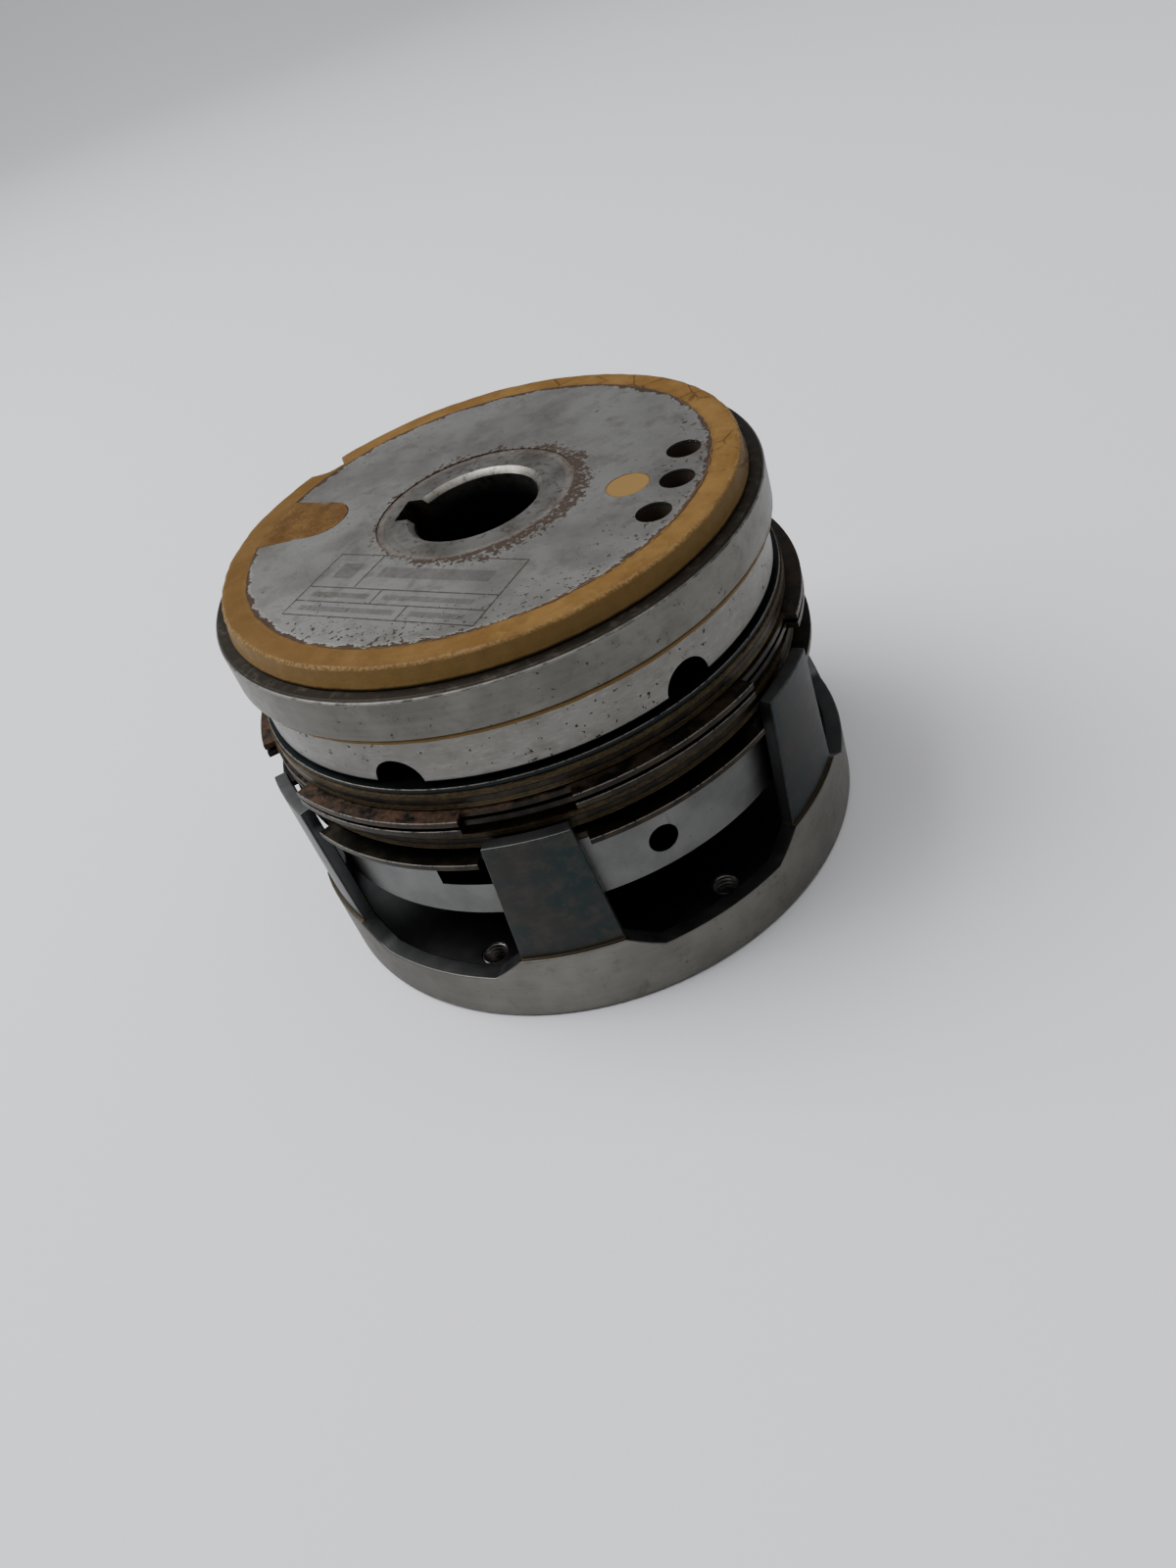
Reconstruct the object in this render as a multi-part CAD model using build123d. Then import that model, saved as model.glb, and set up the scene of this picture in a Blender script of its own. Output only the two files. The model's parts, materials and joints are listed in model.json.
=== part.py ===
from build123d import *
import os
from math import cos, radians, sin

# Slip-ring multi-disc electromagnetic clutch with a loose six-finger driver ring.
# Millimetres, +Z up along the shaft bore; the origin is the centre of the driver ring's bottom face.

# hub
BORE_R = 10.0
KEYWAY_WIDTH = 6.0
KEYWAY_BOTTOM = 12.8          # from the axis to the keyway floor
KEYWAY_AZIMUTH = 150.0
HUB_BOTTOM_Z = 8.0
HUB_NECK_R = 15.9             # the neck that the magnet body is pressed on
HUB_END_Z = 65.0
SPLINE_R = 24.0
SPLINE_DEPTH = 2.0
SPLINE_COUNT = 12
SPLINE_BOTTOM_Z = 19.0
THREAD_R = 21.0               # threaded end for the adjusting nut
GROOVE_R = 2.8                # round grooves in the spline that hold the springs
GROOVE_CIRCLE_R = 21.6
SPRING_COUNT = 3
SPRING_AZIMUTH = 45.0
BORE_CHAMFER = 0.9
END_PLAY = 0.3                # between the spline's end and the magnet's pole

# magnet body
BODY_R = 42.4
POLE_FACE_Z = 46.1
SHOULDER_Z = 54.0
CORE_R = 37.1
CORE_TOP_Z = 65.2
COIL_IN_R = 24.6
COIL_OUT_R = 34.0
COIL_TOP_Z = 58.6
NOTCH_COUNT = 6
NOTCH_AZIMUTH = -63.5
NOTCH_R = 3.9
NOTCH_INNER_R = 38.0
BALANCE_HOLE_R = 2.65
BALANCE_HOLE_CIRCLE_R = 32.8
BALANCE_HOLE_DEPTH = 5.0
BALANCE_HOLE_AZIMUTHS = (-15.5, -31.0, -46.5)
FILL_HOLE_R = 3.35
FILL_HOLE_CIRCLE_R = 25.3
FILL_HOLE_AZIMUTH = -31.5
FILL_PLUG_SINK = 0.05
POCKET_R = 5.3                # end radius of the lead pocket in the front face
POCKET_INNER_R = 23.1
POCKET_FLARE = 1.8            # how much wider the pocket is at the rim
POCKET_DEPTH = 5.2
LEAD_R = 0.6
LEAD_HOLE_R = 1.2
LEAD_RUN_Z = 60.9
EARTH_RUN = 5.0
LEAD_CIRCLE_R = 29.0
LEAD_SPREAD = 6.0             # degrees between the pocket's middle and each lead

# coil
COIL_GAP = 0.1
BOBBIN_WALL = 1.2
COVER_THICKNESS = 1.4
COVER_RECESS = 0.6

# slip ring and its moulded insulation
SLIP_R = 44.0
SLIP_IN_R = 40.4
SLIP_BOTTOM_Z = 54.7
SLIP_TOP_Z = 61.7
SLIP_CHAMFER = 0.5
INSULATION_TOP_Z = 65.4
INSULATION_LIP_R = 41.9
INSULATION_TOP_R = 41.3
INSULATION_RIM_R = 43.8       # thin edge that shows between the slip ring and the magnet body

# disc pack, from the poles down
POLE_DISC_THICKNESS = 0.8
OUTER_DISC_THICKNESS = 1.0
LINED_DISC_THICKNESS = 2.8
LINED_CORE = 1.0              # steel between the two linings
POLE_DISC_Z = 44.5
INNER_DISC_Z = (41.6, 33.9)
OUTER_DISC_Z = (40.4, 38.8, 31.9)
POLE_DISC_R = 43.2
INNER_DISC_R = 43.5
LINING_IN_R = 33.0
OUTER_DISC_R = 44.0
OUTER_DISC_IN_R = 31.0
LUG_R = 46.0
LUG_HALF_ANGLE = 19.6
BORE_PLAY = 0.35              # between the hub's spline and the pieces that slide on it

# armature
ARMATURE_R = 43.0
ARMATURE_BOTTOM_Z = 18.9
ARMATURE_TOP_Z = 31.3
ARMATURE_CHAMFER = 0.8
SPANNER_HOLE_R = 2.4
SPANNER_HOLE_DEPTH = 9.0
SPANNER_HOLE_COUNT = 3
SPANNER_HOLE_AZIMUTH = -78.7
SPANNER_HOLE_Z = 24.85
TOP_SLOT_COUNT = 3
TOP_SLOT_AZIMUTH = -113.0
TOP_SLOT_WIDTH = 18.0
TOP_SLOT_INNER_R = 36.0
TOP_SLOT_Z = 25.8
TAB_TOP_Z = 23.0              # tabs of the armature that the springs push on
TAB_PLAY = 0.3
TAB_BRIDGE_HALF = 5.5

# return springs
SPRING_COIL_R = 2.0
SPRING_WIRE_R = 0.4
SPRING_TURNS = 9
SPRING_END_PLAY = 0.05

# adjusting nut and snap ring on the hub's threaded end
NUT_R = 30.0
NUT_BOTTOM_Z = 13.0
NUT_TOP_Z = 18.6
NUT_SLOT_COUNT = 4
NUT_SLOT_DEPTH = 2.0
NUT_SLOT_WIDTH = 5.0
LOCK_SCREW_R = 2.0
LOCK_SCREW_SINK = 0.6         # how far its end lies below the nut's rim
LOCK_SCREW_AZIMUTH = 45.0
LOCK_SOCKET_R = 1.0
LOCK_SOCKET_DEPTH = 1.5
SNAP_RING_Z = 10.6
SNAP_RING_THICKNESS = 1.5
SNAP_RING_IN_R = 20.0
SNAP_RING_OUT_R = 23.2
SNAP_RING_GAP = 50.0          # degrees

# driver ring
RING_R = 47.5
WALL_IN_R = 44.6
FINGER_R = 46.8
FINGER_COUNT = 6
FINGER_AZIMUTH = -102.5
FINGER_FOOT_Z = 13.1
FINGER_TOP_Z = 36.4
FINGER_FOOT_HALF = 10.1       # half angles of a finger at its foot and at its tip
FINGER_TOP_HALF = 8.2
WINDOW_FLOOR_Z = 9.3
WINDOW_FLOOR_HALF = 13.4
WINDOW_CUT_IN_R = 38.6        # radii between which the windows are cut
WINDOW_CUT_OUT_R = 50.5
FLANGE_THICKNESS = 5.0
REGISTER_R = 26.0
BOLT_CIRCLE_R = 39.0
BOLT_HOLE_R = 2.1             # tapping size of an M5 thread
BOLT_AZIMUTH = -126.0
RING_CHAMFER = 0.4

CUT = 1.0                     # how far a cutting tool stands clear of what it cuts


def polar(radius, azimuth, z=0.0):
    """Point at a radius and an azimuth in degrees."""
    return Vector(radius * cos(radians(azimuth)), radius * sin(radians(azimuth)), z)


def rod(radius, bottom, top):
    """Solid cylinder on the Z axis between two heights."""
    return Pos(0, 0, (bottom + top) / 2) * Cylinder(radius, top - bottom)


def tube(inner, outer, bottom, top):
    """Ring on the Z axis between two heights."""
    return rod(outer, bottom, top) - rod(inner, bottom - CUT, top + CUT)


def pin(radius, circle_r, azimuth, bottom, top):
    """Upright cylinder that stands off the axis."""
    return Pos(polar(circle_r, azimuth)) * rod(radius, bottom, top)


def turned(*points):
    """Solid of revolution from its (radius, height) outline."""
    outline = Polyline(*[(r, 0, z) for r, z in points], close=True)
    return revolve(make_face(outline), Axis.Z)


def sector(inner, outer, azimuth, half_angle, bottom, top):
    """Piece of a ring that spans a half angle each side of an azimuth."""
    a, b = azimuth - half_angle, azimuth + half_angle
    outline = [
        Line(polar(inner, a), polar(outer, a)),
        ThreePointArc(polar(outer, a), polar(outer, azimuth), polar(outer, b)),
        Line(polar(outer, b), polar(inner, b)),
        ThreePointArc(polar(inner, b), polar(inner, azimuth), polar(inner, a)),
    ]
    return Pos(0, 0, bottom) * extrude(make_face(outline), top - bottom)


def spline_section(extra, bottom, top, gaps):
    """The hub's spline, grown outwards by a play, with the given gaps between its teeth."""
    body = rod(SPLINE_R + extra, bottom, top)
    pitch = 360 / SPLINE_COUNT
    for i in gaps:
        middle = SPRING_AZIMUTH + i * pitch
        gap = sector(SPLINE_R - SPLINE_DEPTH + extra, SPLINE_R + extra + CUT, middle,
                     pitch / 4 - extra, bottom - CUT, top + CUT)
        body -= gap
    return body


def spring_azimuths():
    return [SPRING_AZIMUTH + i * 360 / SPRING_COUNT for i in range(SPRING_COUNT)]


def hub():
    """Turned hub: keyed bore, plain neck for the magnet body, spline for the discs, threaded end."""
    shape = rod(HUB_NECK_R, POLE_FACE_Z - CUT, HUB_END_Z)
    shape += spline_section(0, SPLINE_BOTTOM_Z, POLE_FACE_Z - END_PLAY, range(SPLINE_COUNT))
    shape += rod(THREAD_R, HUB_BOTTOM_Z, SPLINE_BOTTOM_Z)
    for azimuth in spring_azimuths():
        shape -= pin(GROOVE_R, GROOVE_CIRCLE_R, azimuth, SPLINE_BOTTOM_Z - CUT, POLE_FACE_Z)
    shape -= tube(SNAP_RING_IN_R, THREAD_R + CUT, SNAP_RING_Z, SNAP_RING_Z + SNAP_RING_THICKNESS)
    shape -= rod(BORE_R, HUB_BOTTOM_Z - CUT, HUB_END_Z + CUT)
    cone = turned((0, HUB_END_Z - BORE_CHAMFER), (BORE_R, HUB_END_Z - BORE_CHAMFER),
                  (BORE_R + BORE_CHAMFER + CUT, HUB_END_Z + CUT), (0, HUB_END_Z + CUT))
    shape -= cone
    key_slot = Pos(KEYWAY_BOTTOM / 2, 0, (HUB_BOTTOM_Z + HUB_END_Z) / 2)
    key_slot *= Box(KEYWAY_BOTTOM, KEYWAY_WIDTH, HUB_END_Z - HUB_BOTTOM_Z + 2 * CUT)
    return shape - Rot(0, 0, KEYWAY_AZIMUTH) * key_slot


def lead_azimuths():
    return (KEYWAY_AZIMUTH - LEAD_SPREAD, KEYWAY_AZIMUTH + LEAD_SPREAD)


def lead_pocket(bottom, top):
    """Round-ended pocket in the magnet's front face, open to the rim, where the coil leads come out."""
    middle = POCKET_INNER_R + POCKET_R
    reach = CORE_R + CUT
    slot = Pos((middle + reach) / 2, 0, (bottom + top) / 2) * Box(reach - middle, 2 * POCKET_R, top - bottom)
    slot += Pos(middle, 0) * rod(POCKET_R, bottom, top)
    flare = Pos(reach, 0) * rod(POCKET_R + POCKET_FLARE, bottom, top)
    return Rot(0, 0, KEYWAY_AZIMUTH) * (slot + flare)


def magnet_body():
    """Pot of mild steel: outer pole with round notches, coil space open to the discs, front core."""
    shape = rod(BODY_R, POLE_FACE_Z, SHOULDER_Z) + rod(CORE_R, SHOULDER_Z - CUT, CORE_TOP_Z)
    shape -= rod(HUB_NECK_R, POLE_FACE_Z - CUT, CORE_TOP_Z + CUT)
    shape -= tube(COIL_IN_R, COIL_OUT_R, POLE_FACE_Z - CUT, COIL_TOP_Z)
    for i in range(NOTCH_COUNT):
        azimuth = NOTCH_AZIMUTH + i * 360 / NOTCH_COUNT
        length = BODY_R + CUT - NOTCH_INNER_R
        cutter = Pos(NOTCH_INNER_R + length / 2, 0, POLE_FACE_Z) * Rot(0, 90, 0) * Cylinder(NOTCH_R, length)
        shape -= Rot(0, 0, azimuth) * cutter
    for azimuth in BALANCE_HOLE_AZIMUTHS:
        shape -= pin(BALANCE_HOLE_R, BALANCE_HOLE_CIRCLE_R, azimuth,
                     CORE_TOP_Z - BALANCE_HOLE_DEPTH, CORE_TOP_Z + CUT)
    shape -= pin(FILL_HOLE_R, FILL_HOLE_CIRCLE_R, FILL_HOLE_AZIMUTH, COIL_TOP_Z - CUT, CORE_TOP_Z + CUT)
    shape -= lead_pocket(CORE_TOP_Z - POCKET_DEPTH, CORE_TOP_Z + CUT)
    for azimuth in lead_azimuths():
        shape -= pin(LEAD_HOLE_R, LEAD_CIRCLE_R, azimuth, COIL_TOP_Z - CUT, CORE_TOP_Z)
    return shape


def coil_bobbin():
    """Moulded former of the coil: a sleeve between two flanges."""
    inner = COIL_IN_R + COIL_GAP
    outer = COIL_OUT_R - COIL_GAP
    bottom = POLE_FACE_Z + COVER_RECESS + COVER_THICKNESS
    top = COIL_TOP_Z - COIL_GAP
    shape = tube(inner, inner + BOBBIN_WALL, bottom, top)
    shape += tube(inner, outer, bottom, bottom + BOBBIN_WALL)
    shape += tube(inner, outer, top - BOBBIN_WALL, top)
    for azimuth in lead_azimuths():
        shape -= pin(LEAD_HOLE_R, LEAD_CIRCLE_R, azimuth, top - BOBBIN_WALL - CUT, top + CUT)
    return shape


def coil_winding():
    """Copper winding as one ring of wire, varnished solid."""
    inner = COIL_IN_R + COIL_GAP + BOBBIN_WALL
    outer = COIL_OUT_R - 3 * COIL_GAP
    bottom = POLE_FACE_Z + COVER_RECESS + COVER_THICKNESS + BOBBIN_WALL
    return tube(inner, outer, bottom, COIL_TOP_Z - COIL_GAP - BOBBIN_WALL)


def coil_cover():
    """Non-magnetic ring that closes the coil space between the two poles."""
    bottom = POLE_FACE_Z + COVER_RECESS
    return tube(COIL_IN_R, COIL_OUT_R, bottom, bottom + COVER_THICKNESS)


def fill_plug():
    """Resin that was left standing in the filling hole."""
    return pin(FILL_HOLE_R, FILL_HOLE_CIRCLE_R, FILL_HOLE_AZIMUTH, COIL_TOP_Z, CORE_TOP_Z - FILL_PLUG_SINK)


def slip_ring():
    """Turned steel contact ring with broken edges."""
    c = SLIP_CHAMFER
    return turned((SLIP_IN_R, SLIP_BOTTOM_Z), (SLIP_R - c / 2, SLIP_BOTTOM_Z),
                  (SLIP_R, SLIP_BOTTOM_Z + c / 2), (SLIP_R, SLIP_TOP_Z - c),
                  (SLIP_R - c, SLIP_TOP_Z), (SLIP_IN_R, SLIP_TOP_Z))


def slip_ring_insulation():
    """Resin cast between the core and the slip ring; it also fills the lead pocket."""
    shape = turned((CORE_R, SHOULDER_Z), (INSULATION_RIM_R, SHOULDER_Z), (INSULATION_RIM_R, SLIP_BOTTOM_Z),
                   (SLIP_IN_R, SLIP_BOTTOM_Z), (SLIP_IN_R, SLIP_TOP_Z), (INSULATION_LIP_R, SLIP_TOP_Z),
                   (INSULATION_TOP_R, INSULATION_TOP_Z), (CORE_R, INSULATION_TOP_Z))
    core = rod(CORE_R, SHOULDER_Z, INSULATION_TOP_Z)
    shape += lead_pocket(CORE_TOP_Z - POCKET_DEPTH, INSULATION_TOP_Z) & core
    return shape - coil_lead() - earth_lead()


def lead_path(azimuth, length):
    """Coil lead: a straight riser from the winding, an elbow, and a run of some length towards the rim."""
    bottom = COIL_TOP_Z - COIL_GAP - BOBBIN_WALL
    riser = pin(LEAD_R, LEAD_CIRCLE_R, azimuth, bottom, LEAD_RUN_Z)
    corner = Pos(polar(LEAD_CIRCLE_R, azimuth, LEAD_RUN_Z))
    run = Pos(length / 2, 0, 0) * Rot(0, 90, 0) * Cylinder(LEAD_R, length)
    return riser + corner * Sphere(LEAD_R) + corner * Rot(0, 0, KEYWAY_AZIMUTH) * run


def coil_lead():
    """Live lead of the coil; it ends on the inside of the slip ring."""
    azimuth = lead_azimuths()[0]
    offset = LEAD_CIRCLE_R * sin(radians(LEAD_SPREAD))
    reach = (SLIP_IN_R**2 - (offset + LEAD_R)**2)**0.5 - LEAD_CIRCLE_R * cos(radians(LEAD_SPREAD))
    return lead_path(azimuth, reach)


def earth_lead():
    """Return lead of the coil, soldered to the core inside the pocket."""
    return lead_path(lead_azimuths()[1], EARTH_RUN)


def pole_disc():
    """Plain steel disc next to the poles, with internal spline teeth."""
    top = POLE_DISC_Z + POLE_DISC_THICKNESS
    return rod(POLE_DISC_R, POLE_DISC_Z, top) - spline_bore(POLE_DISC_Z, top)


def spline_bore(bottom, top):
    """Cutter for a bore that slides on the hub's spline; it has no teeth where the springs stand."""
    gaps = [i for i in range(SPLINE_COUNT) if i % (SPLINE_COUNT // SPRING_COUNT)]
    return spline_section(BORE_PLAY, bottom - CUT, top + CUT, gaps)


def inner_disc(bottom):
    """Steel core of a lined inner disc."""
    low = bottom + (LINED_DISC_THICKNESS - LINED_CORE) / 2
    return rod(INNER_DISC_R, low, low + LINED_CORE) - spline_bore(low, low + LINED_CORE)


def linings(bottom):
    """Two friction linings bonded to the faces of an inner disc."""
    thickness = (LINED_DISC_THICKNESS - LINED_CORE) / 2
    top = bottom + LINED_DISC_THICKNESS
    lower = tube(LINING_IN_R, INNER_DISC_R, bottom, bottom + thickness)
    return lower + tube(LINING_IN_R, INNER_DISC_R, top - thickness, top)


def outer_disc(bottom):
    """Plain steel disc with six wide lugs that stand between the driver's fingers."""
    top = bottom + OUTER_DISC_THICKNESS
    shape = tube(OUTER_DISC_IN_R, OUTER_DISC_R, bottom, top)
    for i in range(FINGER_COUNT):
        azimuth = FINGER_AZIMUTH + (i + 0.5) * 360 / FINGER_COUNT
        shape += sector(OUTER_DISC_R - CUT, LUG_R, azimuth, LUG_HALF_ANGLE, bottom, top)
    return shape


def armature_ring():
    """Ground steel ring that the magnet pulls against the discs; it slides on the hub's spline."""
    c = ARMATURE_CHAMFER
    shape = turned((SPLINE_R - SPLINE_DEPTH, ARMATURE_BOTTOM_Z), (ARMATURE_R - c, ARMATURE_BOTTOM_Z),
                   (ARMATURE_R, ARMATURE_BOTTOM_Z + c), (ARMATURE_R, ARMATURE_TOP_Z - c / 2),
                   (ARMATURE_R - c / 2, ARMATURE_TOP_Z), (SPLINE_R - SPLINE_DEPTH, ARMATURE_TOP_Z))
    shape -= spline_bore(ARMATURE_BOTTOM_Z, ARMATURE_TOP_Z)
    for i in range(SPANNER_HOLE_COUNT):
        azimuth = SPANNER_HOLE_AZIMUTH + i * 360 / SPANNER_HOLE_COUNT
        length = SPANNER_HOLE_DEPTH + CUT
        drill = Pos(ARMATURE_R + CUT - length / 2, 0, SPANNER_HOLE_Z) * Rot(0, 90, 0)
        shape -= Rot(0, 0, azimuth) * drill * Cylinder(SPANNER_HOLE_R, length)
    for i in range(TOP_SLOT_COUNT):
        azimuth = TOP_SLOT_AZIMUTH + i * 360 / TOP_SLOT_COUNT
        length = ARMATURE_R + CUT - TOP_SLOT_INNER_R
        height = ARMATURE_TOP_Z + CUT - TOP_SLOT_Z
        slot = Pos(TOP_SLOT_INNER_R + length / 2, 0, TOP_SLOT_Z + height / 2)
        shape -= Rot(0, 0, azimuth) * slot * Box(length, TOP_SLOT_WIDTH, height)
    for azimuth in spring_azimuths():
        bottom = ARMATURE_BOTTOM_Z + CUT
        tab = pin(GROOVE_R - TAB_PLAY, GROOVE_CIRCLE_R, azimuth, bottom, TAB_TOP_Z)
        bridge = sector(GROOVE_CIRCLE_R, SPLINE_R + CUT, azimuth, TAB_BRIDGE_HALF, bottom, TAB_TOP_Z)
        shape += tab + bridge
    return shape


def return_springs():
    """Three compression springs in the hub's grooves; they push the armature away from the discs."""
    bottom = TAB_TOP_Z + SPRING_WIRE_R
    height = POLE_FACE_Z - SPRING_WIRE_R - SPRING_END_PLAY - bottom
    path = Helix(pitch=height / SPRING_TURNS, height=height, radius=SPRING_COIL_R)
    wire = Plane(origin=path @ 0, z_dir=path % 0) * Circle(SPRING_WIRE_R)
    spring = sweep(wire, path=path, is_frenet=True)
    return Compound([Pos(polar(GROOVE_CIRCLE_R, azimuth, bottom)) * spring for azimuth in spring_azimuths()])


def adjusting_nut():
    """Round nut on the hub's thread: the armature's stop, which sets the air gap."""
    shape = tube(THREAD_R, NUT_R, NUT_BOTTOM_Z, NUT_TOP_Z)
    for i in range(NUT_SLOT_COUNT):
        slot = Pos(NUT_R, 0, (NUT_BOTTOM_Z + NUT_TOP_Z) / 2)
        slot *= Box(2 * NUT_SLOT_DEPTH, NUT_SLOT_WIDTH, NUT_TOP_Z - NUT_BOTTOM_Z + CUT)
        shape -= Rot(0, 0, i * 360 / NUT_SLOT_COUNT) * slot
    return shape - lock_screw()


def lock_screw():
    """Grub screw that locks the adjusting nut on the thread."""
    length = NUT_R - THREAD_R - LOCK_SCREW_SINK
    level = Pos(THREAD_R, 0, (NUT_BOTTOM_Z + NUT_TOP_Z) / 2) * Rot(0, 90, 0)
    screw = level * Pos(0, 0, length / 2) * Cylinder(LOCK_SCREW_R, length)
    screw -= level * Pos(0, 0, length) * Cylinder(LOCK_SOCKET_R, 2 * LOCK_SOCKET_DEPTH)
    return Rot(0, 0, LOCK_SCREW_AZIMUTH) * screw


def snap_ring():
    """Open spring-steel ring in the groove at the end of the hub."""
    ring = tube(SNAP_RING_IN_R, SNAP_RING_OUT_R, SNAP_RING_Z, SNAP_RING_Z + SNAP_RING_THICKNESS)
    return ring - sector(SNAP_RING_IN_R - CUT, SNAP_RING_OUT_R + CUT, 0, SNAP_RING_GAP / 2,
                         SNAP_RING_Z - CUT, SNAP_RING_Z + SNAP_RING_THICKNESS + CUT)


def window_cutter(azimuth):
    """Cuts one gap between two fingers: flat floor, two sloping corners, sides that lean with the fingers."""
    half = 180 / FINGER_COUNT
    floor_half = WINDOW_FLOOR_HALF
    foot_half = half - FINGER_FOOT_HALF
    tip_half = half - FINGER_TOP_HALF
    lean = (tip_half - foot_half) / (FINGER_TOP_Z - FINGER_FOOT_Z)
    over = foot_half + lean * (FINGER_TOP_Z + CUT - FINGER_FOOT_Z)
    sides = [(-floor_half, WINDOW_FLOOR_Z), (floor_half, WINDOW_FLOOR_Z), (foot_half, FINGER_FOOT_Z),
             (over, FINGER_TOP_Z + CUT), (-over, FINGER_TOP_Z + CUT), (-foot_half, FINGER_FOOT_Z)]

    def outline(radius):
        points = [(radius, radius * sin(radians(a)) / cos(radians(a)), z) for a, z in sides]
        return make_face(Polyline(*points, close=True))

    return Rot(0, 0, azimuth) * loft([outline(WINDOW_CUT_IN_R), outline(WINDOW_CUT_OUT_R)], ruled=True)


def driver_ring():
    """Driver: turned base ring with an inner bolting flange and six fingers left standing."""
    c = RING_CHAMFER
    base = turned((REGISTER_R, 0), (RING_R - c, 0), (RING_R, c), (RING_R, FINGER_FOOT_Z),
                  (FINGER_R, FINGER_FOOT_Z), (FINGER_R, FINGER_TOP_Z), (WALL_IN_R, FINGER_TOP_Z),
                  (WALL_IN_R, FLANGE_THICKNESS), (REGISTER_R, FLANGE_THICKNESS))
    pitch = 360 / FINGER_COUNT
    for i in range(FINGER_COUNT):
        base -= window_cutter(FINGER_AZIMUTH + (i + 0.5) * pitch)
        base -= pin(BOLT_HOLE_R, BOLT_CIRCLE_R, BOLT_AZIMUTH + i * pitch, -CUT, FLANGE_THICKNESS + CUT)
    return base


def main():
    """Write every piece to its own file."""
    pieces = {
        "hub": hub(),
        "magnet_body": magnet_body(),
        "coil_bobbin": coil_bobbin(),
        "coil_winding": coil_winding(),
        "coil_cover": coil_cover(),
        "fill_plug": fill_plug(),
        "slip_ring": slip_ring(),
        "slip_ring_insulation": slip_ring_insulation(),
        "coil_lead": coil_lead(),
        "earth_lead": earth_lead(),
        "pole_disc": pole_disc(),
        "armature_ring": armature_ring(),
        "return_springs": return_springs(),
        "adjusting_nut": adjusting_nut(),
        "nut_lock_screw": lock_screw(),
        "snap_ring": snap_ring(),
        "driver_ring": driver_ring(),
    }
    for i, bottom in enumerate(INNER_DISC_Z, 1):
        pieces[f"inner_disc_{i}"] = inner_disc(bottom)
        pieces[f"disc_linings_{i}"] = linings(bottom)
    for i, bottom in enumerate(OUTER_DISC_Z, 1):
        pieces[f"outer_disc_{i}"] = outer_disc(bottom)
    os.makedirs("parts", exist_ok=True)
    for name, shape in pieces.items():
        export_step(shape, f"parts/{name}.step")


main()
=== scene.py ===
import json
from math import cos, radians, sin

import bmesh
import bpy
import numpy as np
from mathutils import Matrix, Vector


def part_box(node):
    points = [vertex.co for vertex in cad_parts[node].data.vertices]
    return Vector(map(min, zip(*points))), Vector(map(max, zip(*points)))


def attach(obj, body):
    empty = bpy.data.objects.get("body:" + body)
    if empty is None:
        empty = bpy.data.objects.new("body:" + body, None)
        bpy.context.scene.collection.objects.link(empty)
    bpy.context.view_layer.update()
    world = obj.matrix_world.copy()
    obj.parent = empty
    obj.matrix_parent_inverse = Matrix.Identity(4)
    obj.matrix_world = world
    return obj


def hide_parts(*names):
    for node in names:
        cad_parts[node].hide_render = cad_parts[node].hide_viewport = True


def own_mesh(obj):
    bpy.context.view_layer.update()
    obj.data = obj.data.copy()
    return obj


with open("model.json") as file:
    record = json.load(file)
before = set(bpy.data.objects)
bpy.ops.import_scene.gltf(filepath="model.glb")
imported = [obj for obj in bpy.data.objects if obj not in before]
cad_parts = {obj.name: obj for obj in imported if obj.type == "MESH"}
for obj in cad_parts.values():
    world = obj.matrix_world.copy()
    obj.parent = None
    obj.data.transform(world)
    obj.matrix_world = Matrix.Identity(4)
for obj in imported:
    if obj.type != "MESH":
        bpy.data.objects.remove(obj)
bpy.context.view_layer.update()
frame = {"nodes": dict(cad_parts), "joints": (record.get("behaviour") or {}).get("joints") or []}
nodes = frame["nodes"]
MM = 0.001

# Camera, held above the front and rolled as a hand holds it, and soft daylight.
# A window lights the clutch from the left and a pale ceiling fills the shadows.
CAMERA_BACK = 175.1 * MM
CAMERA_HEIGHT = 145.0 * MM
CAMERA_PITCH = radians(38.49)
CAMERA_YAW = radians(0.36)
CAMERA_ROLL = radians(20.66)
CAMERA_LENS = 28.125

forward = np.array([sin(CAMERA_YAW) * cos(CAMERA_PITCH), cos(CAMERA_YAW) * cos(CAMERA_PITCH),
                    -sin(CAMERA_PITCH)])
level = np.array([cos(CAMERA_YAW), -sin(CAMERA_YAW), 0.0])
down = np.cross(forward, level)
right = cos(CAMERA_ROLL) * level + sin(CAMERA_ROLL) * down
down = cos(CAMERA_ROLL) * down - sin(CAMERA_ROLL) * level
camera = bpy.data.objects.new("camera", bpy.data.cameras.new("camera"))
camera.data.lens = CAMERA_LENS
camera.data.clip_start = 0.01
turn = Matrix(np.column_stack([right, -down, -forward]).tolist()).to_4x4()
camera.matrix_world = Matrix.Translation((0, -CAMERA_BACK, CAMERA_HEIGHT)) @ turn
bpy.context.scene.collection.objects.link(camera)
bpy.context.scene.camera = camera

world = bpy.data.worlds.new("room")
world.use_nodes = True
world.node_tree.nodes["Background"].inputs["Color"].default_value = (0.82, 0.83, 0.86, 1)
world.node_tree.nodes["Background"].inputs["Strength"].default_value = 0.25
bpy.context.scene.world = world


def soft_light(name, place, size, power, tint):
    """A square area light at a place, turned towards the clutch."""
    lamp = bpy.data.lights.new(name, "AREA")
    lamp.size = size
    lamp.energy = power
    lamp.color = tint
    holder = bpy.data.objects.new(name, lamp)
    holder.location = place
    holder.rotation_euler = holder.location.to_track_quat("Z", "Y").to_euler()
    bpy.context.scene.collection.objects.link(holder)


soft_light("window", (-0.66, 0.28, 1.10), 0.95, 23.5, (0.98, 0.985, 1.0))
soft_light("ceiling", (0.20, -0.05, 1.35), 1.3, 9.0, (1.0, 0.995, 0.985))


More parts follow.
